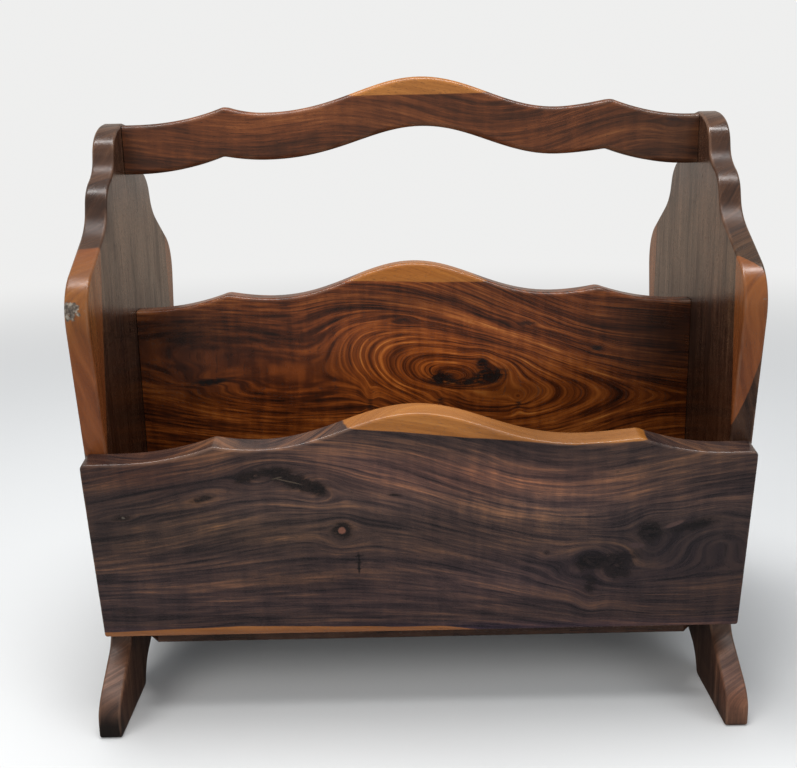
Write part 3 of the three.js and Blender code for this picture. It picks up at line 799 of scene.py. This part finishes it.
materials = {}
materials["front_panel"] = wood(
    "walnut_front", DARK_HEART, SAP, (17, 6, 2, 5), 1,
    weights=(0.24, 0.33, 0.26, 0.17), lines=(4.6, 0.2), veins=0.12,
    curls=[(85, 92, 70, 20, 24, 0.1), (180, 96, 40, 12, -20, 0.1)],
    hills=[(-92, 128, 110, 60, 0, 26), (95, 118, 85, 48, 0, -22), (190, 40, 110, 46, 0, -38),
           (-20, 72, 120, 40, 0, 9), (206, 72, 34, 26, 10, 18)],
    knots=[(-84, 123.5, 20, 5.8, -19, 1.35), (-117, 127, 9, 4.4, 14, 1.15),
           (-98, 131.5, 12, 3, 4, 0.7), (-67, 116.5, 7, 4.4, -24, 0.9),
           (-148, 112, 10, 2.6, 14, 0.95), (-204, 98, 8, 2.4, 6, 0.85),
           (-53, 84.5, 6.6, 6.0, 0, 1.7), (159, 79, 7.5, 7.5, 0, 1.7), (134, 57, 19, 5.5, 12, 1.2),
           (139, 47, 10, 7, 0, 1.2), (190, 84, 17, 4, 16, 1.3), (120, 36, 4.4, 9, 0, 0.9),
           (-16, 111, 5, 1.4, -8, 1.0), (116, 56, 8, 6, 0, 1.15), (-208, 22, 9, 2.6, 0, 0.7),
           (88, 64, 3, 2.6, 0, 0.6)],
    shades=[(205, 40, 75, 50, 0, -0.3), (-60, 106, 80, 22, 0, 0.34), (55, 122, 90, 14, -6, 0.62),
            (-36, 134, 50, 12, -16, 0.62), (-195, 132, 60, 22, 0, -0.34),
            (-120, 100, 60, 16, 0, 0.3), (92, 102, 48, 13, 0, 0.58),
            (150, 66, 40, 22, 20, -0.2), (-85, 45, 56, 13, 0, -0.28),
            (66, 45, 50, 15, 0, 0.3), (-130, 12, 110, 8, 0, -0.2), (-10, 107, 30, 11, 0, 0.3),
            (-160, 104, 28, 10, 0, -0.24), (42, 134, 80, 10, -4, 0.24), (-210, 76, 40, 20, 0, -0.2),
            (215, 104, 50, 10, 8, 0.2)],
    tints=[(-120, 88, 90, 18, 0, (1.04, 1.04, 0.9)), (30, 126, 110, 18, -6, (1.2, 0.96, 0.86)),
           (-190, 133, 50, 14, 0, (1.02, 0.86, 0.9)), (0, 34, 300, 34, 0, (0.99, 0.97, 1.1)),
           (165, 66, 64, 34, 0, (0.85, 0.98, 1.16)), (-130, 0, 380, 6, 0, (0.57, 0.62, 1.32)),
           (105, 153, 56, 9, 0, (0.66, 0.68, 0.74))],
    cracks=[(-43, 58, 0.8, 7.5, 0, 1.7), (-43, 64, 3.2, 0.7, 8, 1.2), (-43.4, 59, 2.6, 0.6, -6, 1.1),
            (-43, 54, 2.2, 0.6, 5, 1.0)],
    hearts=[(-53, 84.5, 2.7, 2.7, 0, (112, 72, 60)), (-88, 123.5, 10, 0.5, -14, (70, 60, 50)),
            (-96, 126, 4, 0.5, 12, (66, 58, 48)), (-203, 98.5, 1.2, 1.0, 0, (78, 70, 64)),
            (176, 85, 8, 1.8, 24, (80, 57, 49)), (150, 68, 6, 2.2, 0, (70, 50, 44))],
    saps=[[(0.108, 1, -0.15, -156.7), (0, 1, 0, -146.4), (-0.062, 1, 0, -140.2)],
          [(-0.022, -1, 0, 4.2), (-0.12, -1, 0, 6), (0.03, -1, 0, 11)]])
materials["back_panel"] = wood(
    "walnut_back", DARK_HEART, SAP, (19, 6.5, 1.8, 8), 2,
    hills=[(60, 110, 120, 60, 0, 24), (-110, 60, 90, 50, 0, -22), (150, 30, 80, 40, 0, 14)],
    knots=[(-128, 92, 9, 6, 0, 1.1), (84, 52, 6, 4, 0, 0.9)],
    shades=[(-140, 90, 60, 40, 0, -0.2), (40, 80, 90, 30, 0, 0.3)],
    saps=[[(-0.08, 1, -0.8, -154.5)]])
materials["divider"] = wood(
    "walnut_divider", GOLD_HEART, SAP, (10, 3.6, 1.5, 2.6), 3,
    weights=(0.3, 0.25, 0.28, 0.17), lines=(3.1, 0.21), veins=0.14, waver=(4.0, 0.9), gloss=0.25,
    eyes=[(30, 228, 84, 152, 44, -6, 1.9, 0.95)],
    hills=[(-120, 205, 80, 30, 0, 9), (-118, 282, 90, 32, 0, 7)],
    knots=[(20, 225.5, 10.5, 5.6, 0, 1.25), (38, 221, 10, 3.4, 0, 0.75), (59, 226, 14, 6.2, 8, 1.25),
           (53, 236.5, 4.4, 4.6, 0, 1.1), (-160, 226, 14, 2.6, 6, 1.4), (142, 247, 5, 2.4, 0, 0.9),
           (-8, 272, 7, 2, 0, 0.7), (88, 268, 10, 2, 0, 0.7), (21, 207, 3.4, 2.2, 0, 0.9),
           (82, 203, 2.6, 3, 0, 0.8), (-36, 205, 2.2, 5, 0, 0.7)],
    shades=[(-232, 262, 66, 66, 0, -0.5), (228, 250, 60, 100, 0, -0.6), (20, 254, 100, 24, 0, 0.5),
            (-20, 215, 50, 20, 0, 0.3), (-110, 215, 30, 10, 0, 0.55), (0, 293, 240, 9, 0, -0.16),
            (-62, 265, 30, 13, 0, 0.45), (-162, 214, 22, 10, 0, -0.28), (12, 237, 46, 13, 0, 0.3),
            (66, 214, 40, 9, 0, -0.32), (0, 286, 60, 7, 0, -0.22), (186, 242, 36, 22, 0, -0.36),
            (-60, 240, 18, 10, 0, -0.18), (-168, 266, 50, 16, 0, -0.45),
            (-112, 238, 56, 18, 0, 0.28), (176, 268, 46, 16, 0, -0.4),
            (-190, 188, 60, 16, 10, 0.3), (0, 110, 260, 50, 0, -0.3)],
    tints=[(0, 310, 70, 12, 0, (1.12, 0.98, 0.62)), (0, 205, 300, 30, 0, (1.0, 0.97, 0.84))],
    saps=[[(0.025, 1, 0.3, -304.8)]])
materials["handle"] = wood(
    "walnut_handle", RAIL_HEART, SAP, (16, 5.6, 1.9, 5), 4,
    weights=(0.32, 0.28, 0.24, 0.16), lines=(5.0, 0.1), veins=0.12, waver=(6.0, 1.0), gloss=0.32,
    hills=[(-235, 412, 95, 60, 0, 17), (-45, 420, 60, 60, 0, 11), (70, 400, 70, 60, 0, -13),
           (170, 420, 60, 60, 0, 10)],
    knots=[(193, 418, 6, 4, 0, 0.6)],
    shades=[(-225, 410, 34, 60, 0, -0.3), (222, 410, 46, 60, 0, -0.34), (-110, 412, 60, 26, 0, 0.16),
            (-20, 420, 30, 30, 0, -0.14)],
    tints=[(205, 405, 60, 60, 0, (0.82, 0.95, 1.15))],
    saps=[[(0, 1, 0.3, -443.1)]])
materials["left_end_panel"] = wood(
    "walnut_left_end", END_HEART, END_SAP, (18, 6.4, 2, 6), 5,
    lines=(5.2, 0.12), veins=0.12, sheen=0.13,
    hills=[(330, -5, 120, 40, 0, 8)],
    knots=[(303, -12, 5, 3.6, 0, 0.7), (302, 55, 2.5, 2, 0, 0.7), (268, -55, 22, 5, 0, 0.5)],
    # On the foot the third shade is painted light on its front, and the last a painted shadow of the
    # front panel on its top.
    # The first shade is painted light on the upper part, the second painted shade inside the basket,
    # below the divider's top.
    shades=[(330, 10, 80, 60, 0, 0.16), (215, -30, 75, 110, 0, -0.5), (36, -124, 22, 8, 46, 0.8),
            (6, -152, 12, 12, 0, -1.3), (66, -104, 12, 24, 0, -0.7)],
    # The second tint warms the painted light on the foot's front.
    tints=[(318, -128, 34, 30, 0, (1.22, 1.5, 1.16)), (32, -130, 24, 24, 0, (1.1, 1.04, 0.95))],
    saps=[[(0.19, -1, -0.15, -159), (1, 0, 0, -120)], [(0.03, 1, 0, -121.3), (1, 0, 0, -100)]],
    chips=[(306, -136.4, 3.4, 6.2), (307, -137, -4.6, 1.6)],
    dulls=[(22, 0, 46, 400, 0.3), (396, -46, 8, 10, 0.2), (357, -78, 8, 10, 0.2)])
materials["right_end_panel"] = wood(
    "walnut_right_end", END_HEART, END_SAP, (17, 6.2, 2, 6), 6,
    lines=(5.2, 0.12), veins=0.12, sheen=0.11,
    hills=[(340, 20, 120, 40, 0, -8)],
    knots=[(320, 10, 2.5, 2, 0, 0.6)],
    # The first shade is painted light on the upper part, the second painted shade inside the basket,
    # below the divider's top.
    # The third and fourth shades are painted light on the foot's front.
    shades=[(340, 0, 80, 60, 0, 0.14), (215, 30, 75, 110, 0, -0.5), (28, 133, 24, 11, -46, 1.8),
            (10, 147, 16, 26, 0, 0.3), (56, 107, 13, 9, -35, 0.7)],
    # The second tint warms the painted light on the foot's front.
    tints=[(318, 128, 34, 30, 0, (1.32, 1.5, 1.25)), (24, 134, 20, 24, 0, (1.14, 1.0, 0.9)),
           (58, 106, 14, 20, 0, (0.84, 1.0, 1.12))],
    cracks=[(24, 147, 0.9, 0.9, 0, 1.6), (24.5, 147, 0.8, 0.8, 0, 1.5)],
    saps=[[(0.07, 1, -0.9, -143.5), (1, 0, -2.6, -236)], [(0.041, -1, 0, -122.7), (1, 0, 0, -100)]],
    chips=[(303, 138, 4, 1.2)],
    dulls=[(22, 0, 46, 400, 0.3), (396, 46, 8, 10, 0.2), (357, 78, 8, 10, 0.2)])
materials["bottom_board"] = wood(
    "walnut_bottom", END_HEART, SAP, (18, 6.4, 1.8, 9), 7,
    knots=[(-90, 40, 8, 5, 0, 1.0)], shades=[(0, 0, 300, 200, 0, -0.25)])


# The boards
def panel_loop():
    outline = Outline(-PANEL_HALF_LENGTH, 0)
    outline.ease(PANEL_EASE)
    outline.line(PANEL_HALF_LENGTH, 0).ease(PANEL_EASE)
    first_of_wave = len(outline.points)
    add_wave(outline, PANEL_HALF_LENGTH, PANEL_SIDE_HEIGHT, PANEL_WAVE, PANEL_EASE)
    outline.corners[first_of_wave] = PANEL_END_EASE
    outline.ease(PANEL_END_EASE)
    return eased_loop(outline.points, outline.corners)


def panel_radius(x, y):
    if y < PANEL_TOP_FROM:
        return PANEL_ARRIS
    return mix(*PANEL_TOP_ARRISES, float(smooth_step(PANEL_HALF_LENGTH - abs(x), *PANEL_STRETCH)))


def end_radius(height, _):
    return mix(*END_ARRISES, float(smooth_step(height, *END_STRETCH)))


def at_an_end(x, _):
    return abs(x) > BOARD_HALF_LENGTH - CLOSE


def dress(piece, node):
    piece.data.materials.append(materials[node])
    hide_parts(node)
    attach(piece, "root")


def add_panel(node, facing, pits, spots, phase):
    """facing is -1 for the panel in front and 1 for the one behind."""
    up = (0, facing * math.sin(LEAN), math.cos(LEAN))
    out = (0, facing * math.cos(LEAN), -math.sin(LEAN))
    along = (-facing, 0, 0)
    base = np.array((0, facing * leaning_half_depth(PANEL_BOTTOM_HEIGHT), PANEL_BOTTOM_HEIGHT))
    origin = base + np.array(out) * (SEAT_GAP + PANEL_THICKNESS / 2)
    piece = board(node + "_wood", panel_loop(), PANEL_THICKNESS, panel_radius,
                  undulation(UNDULATION, pits, phase), placed(along, up, out, origin), spots=spots)
    dress(piece, node)


def add_divider():
    outline = Outline(-BOARD_HALF_LENGTH, DIVIDER_BOTTOM)
    outline.line(BOARD_HALF_LENGTH, DIVIDER_BOTTOM)
    add_wave(outline, BOARD_HALF_LENGTH, DIVIDER_END_HEIGHT, DIVIDER_WAVE, TIP_EASE)
    loop = eased_loop(outline.points, outline.corners)

    def square(x, y):
        return at_an_end(x, y) or y < DIVIDER_BOTTOM + CLOSE

    piece = board("divider_wood", loop, DIVIDER_THICKNESS, lambda x, y: DIVIDER_ARRIS,
                  undulation(UNDULATION, (), 1.1), FACING_FRONT, square=square)
    dress(piece, "divider")


def add_handle():
    outline = Outline()
    add_wave(outline, BOARD_HALF_LENGTH, HANDLE_END_HEIGHT - HANDLE_DEPTH, GRIP_WAVE, TIP_EASE,
             reverse=True)
    add_wave(outline, BOARD_HALF_LENGTH, HANDLE_END_HEIGHT, HANDLE_WAVE, TIP_EASE)
    loop = eased_loop(outline.points, outline.corners)
    piece = board("handle_wood", loop, HANDLE_THICKNESS, lambda x, y: HANDLE_ARRIS,
                  undulation(HANDLE_UNDULATION, (), 2.3), FACING_FRONT, square=at_an_end, spacing=6.0)
    dress(piece, "handle")


def add_end(node, side):
    """side is -1 for the left panel and 1 for the right one. The grain, its own X, stands upright."""
    upright_loop = end_outline()[::-1, ::-1]
    standing = placed((0, 0, 1), (0, -side, 0), (side, 0, 0), (side * END_MIDDLE, 0, 0))
    piece = board(node + "_wood", upright_loop, END_THICKNESS, end_radius,
                  undulation(UNDULATION, (), 3.0 + side), standing)
    dress(piece, node)


FACING_FRONT = placed((1, 0, 0), (0, 0, 1), (0, -1, 0), (0, 0, 0))
FRONT_PITS = [(-94, 128, 9, 0.25), (-118, 131, 4, 0.2), (-66, 119, 4, 0.25), (-53, 87, 2.2, 0.2),
              (163, 80, 3.5, 0.3)]
FRONT_SPOTS = [(-94, 128, 16, 2.0), (-53, 87, 7, 1.2), (163, 80, 9, 1.6)]
add_panel("front_panel", -1, FRONT_PITS, FRONT_SPOTS, 0.4)
add_panel("back_panel", 1, [(-128, 92, 4, 0.25)], [(-128, 92, 9, 1.8)], 2.0)
add_divider()
add_handle()
add_end("left_end_panel", -1)
add_end("right_end_panel", 1)


def repaint(node, material):
    node.data.materials.clear()
    node.data.materials.append(material)


repaint(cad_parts["bottom_board"], materials["bottom_board"])


# Dowels, whose grain runs along them: lumps of noise per metre
ALONG, ACROSS = 60.0, 900.0


def dowel_wood(name, stretch):
    material, n, shader = new_material(name)
    place = n.add("TexCoord").outputs["Object"]
    grain = n.noise(place, stretch, 3.0)
    colour = n.ramp(grain, [(0.3, (176, 126, 84)), (0.55, (204, 160, 116)), (0.75, (222, 184, 142))])
    set_surface(n, shader, colour, n.span(grain, *NOISE_RANGE, 0.55, 0.72), grain, 0.2, 0.0002)
    return material


along_x = dowel_wood("beech_along_x", (ALONG, ACROSS, ACROSS))
along_y = dowel_wood("beech_along_y", (ACROSS, ALONG, ACROSS))
along_z = dowel_wood("beech_along_z", (ACROSS, ACROSS, ALONG))
for node_name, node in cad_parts.items():
    if "dowel" in node_name:
        repaint(node, along_y if "panel" in node_name else along_z if "foot" in node_name else along_x)


# A round pale floor, which fades into the background. What the boards mirror of it is darker, and
# warmer behind the basket, so that polished faces seen almost edge on keep a walnut's colour.
FLOOR_SIDES, FLOOR_RADIUS = 64, 6.0
FADE_NEAR, FADE_FAR = 0.7, 2.4
BEHIND_FROM, BEHIND_TO = 0.3, 1.2
PALE, FLOOR_COLOUR = (0.86, 0.86, 0.855, 1.0), (0.8, 0.8, 0.795, 1.0)
MIRRORED_FLOOR = (0.16, 0.15, 0.145, 1.0)
MIRRORED_FAR, MIRRORED_BEHIND = (0.3, 0.285, 0.27, 1.0), (0.52, 0.41, 0.32, 1.0)
MIRRORED_ROOM, MIRRORED_ROOM_STRENGTH = (0.74, 0.66, 0.59, 1.0), 0.72
SKY, SKY_STRENGTH = (0.9, 0.95, 1.0, 1.0), 0.45

floor_mesh = bpy.data.meshes.new("floor")
floor_turns = [2 * math.pi * k / FLOOR_SIDES for k in range(FLOOR_SIDES)]
floor_mesh.from_pydata([(FLOOR_RADIUS * math.cos(t), FLOOR_RADIUS * math.sin(t), 0)
                        for t in floor_turns], [], [tuple(range(FLOOR_SIDES))])
floor = new_object("floor", floor_mesh)
floor_paint, fn, floor_shader = new_material("pale_floor")
floor_rays = fn.add("LightPath").outputs
fn.put(floor_shader.inputs["Base Color"],
       fn.blend(floor_rays["Is Glossy Ray"], FLOOR_COLOUR, MIRRORED_FLOOR))
floor_shader.inputs["Roughness"].default_value = 0.8
floor_shader.inputs["Specular IOR Level"].default_value = 0.1
floor_place = fn.add("TexCoord").outputs["Object"]
floor_far = fn.vector("LENGTH", floor_place)
floor_behind = fn.step(fn.parts(floor_place)["Y"], BEHIND_FROM, BEHIND_TO)
glossy_far = fn.blend(floor_behind, MIRRORED_FAR, MIRRORED_BEHIND)
far_colour = fn.blend(floor_rays["Is Glossy Ray"], PALE, glossy_far)
glow = fn.add("Emission", {"Color": far_colour, "Strength": 1.0})
floor_mix = fn.add("MixShader", {0: fn.step(floor_far, FADE_NEAR, FADE_FAR),
                                 1: floor_shader.outputs[0], 2: glow.outputs[0]})
floor_out = floor_paint.node_tree.nodes["Material Output"]
floor_paint.node_tree.links.new(floor_mix.outputs[0], floor_out.inputs["Surface"])
floor_mesh.materials.append(floor_paint)

world = bpy.data.worlds.new("studio")
bpy.context.scene.world = world
world.use_nodes = True
wn = Nodes(world.node_tree)
rays = wn.add("LightPath").outputs
seen = wn.math("MAXIMUM", rays["Is Camera Ray"], rays["Is Transmission Ray"])
dim = world.node_tree.nodes["Background"]
dim.inputs["Color"].default_value = SKY
dim.inputs["Strength"].default_value = SKY_STRENGTH
pale = wn.add("Background", {"Color": PALE, "Strength": 1.0})
mirrored = wn.add("Background", {"Color": MIRRORED_ROOM, "Strength": MIRRORED_ROOM_STRENGTH})
both = wn.add("MixShader", {0: seen, 1: dim.outputs[0], 2: pale.outputs[0]})
all_rays = wn.add("MixShader", {0: rays["Is Glossy Ray"], 1: both.outputs[0],
                                2: mirrored.outputs[0]})
world_out = world.node_tree.nodes["World Output"]
world.node_tree.links.new(all_rays.outputs[0], world_out.inputs["Surface"])

LAMPS_AIM = (0, 0, 0.22)


def lamp(name, place, size, power, colour=(1.0, 1.0, 1.0), diffuse=True, glossy=True):
    """A soft rectangular lamp: metres, metres and watts."""
    data = bpy.data.lights.new(name, "AREA")
    data.shape = "RECTANGLE"
    data.size, data.size_y = size
    data.energy = power
    data.color = colour
    light = new_object(name, data)
    light.visible_diffuse = diffuse
    light.visible_glossy = glossy
    light.location = place
    light.rotation_euler = (Vector(LAMPS_AIM) - Vector(place)).to_track_quat("-Z", "Y").to_euler()


lamp("overhead", (-0.15, -0.1, 1.6), (1.1, 0.5), 19.0, glossy=False)
lamp("overhead_gleam", (0.0, -0.25, 1.7), (2.4, 0.22), 22.0, diffuse=False)
lamp("front_left", (-1.3, -1.7, 1.25), (1.2, 1.2), 17.0, (1.0, 0.985, 0.96), glossy=False)
lamp("front_right", (1.5, -1.4, 0.9), (1.2, 1.0), 9.0, (0.98, 0.99, 1.0), glossy=False)

# Camera at the photograph's viewing angle, as measured on the object
CAMERA_PLACE = (-10.72, -827.16, 423.5)
CAMERA_YAW, CAMERA_PITCH, CAMERA_ROLL = -0.002514, 0.24248, -0.021412
LENS, SENSOR_WIDTH, CLIP_START = 48.509, 36.0, 0.01
ahead = Vector((math.sin(CAMERA_YAW) * math.cos(CAMERA_PITCH),
                math.cos(CAMERA_YAW) * math.cos(CAMERA_PITCH), -math.sin(CAMERA_PITCH)))
level = Vector((math.cos(CAMERA_YAW), -math.sin(CAMERA_YAW), 0))
above = level.cross(ahead)
right = level * math.cos(CAMERA_ROLL) + above * math.sin(CAMERA_ROLL)
top = above * math.cos(CAMERA_ROLL) - level * math.sin(CAMERA_ROLL)
camera_data = bpy.data.cameras.new("camera")
camera_data.sensor_width = SENSOR_WIDTH
camera_data.lens = LENS
camera_data.clip_start = CLIP_START
camera = new_object("camera", camera_data)
camera.matrix_world = placed(right, top, -ahead, CAMERA_PLACE)
bpy.context.scene.camera = camera

bpy.context.scene.view_settings.view_transform = "Standard"
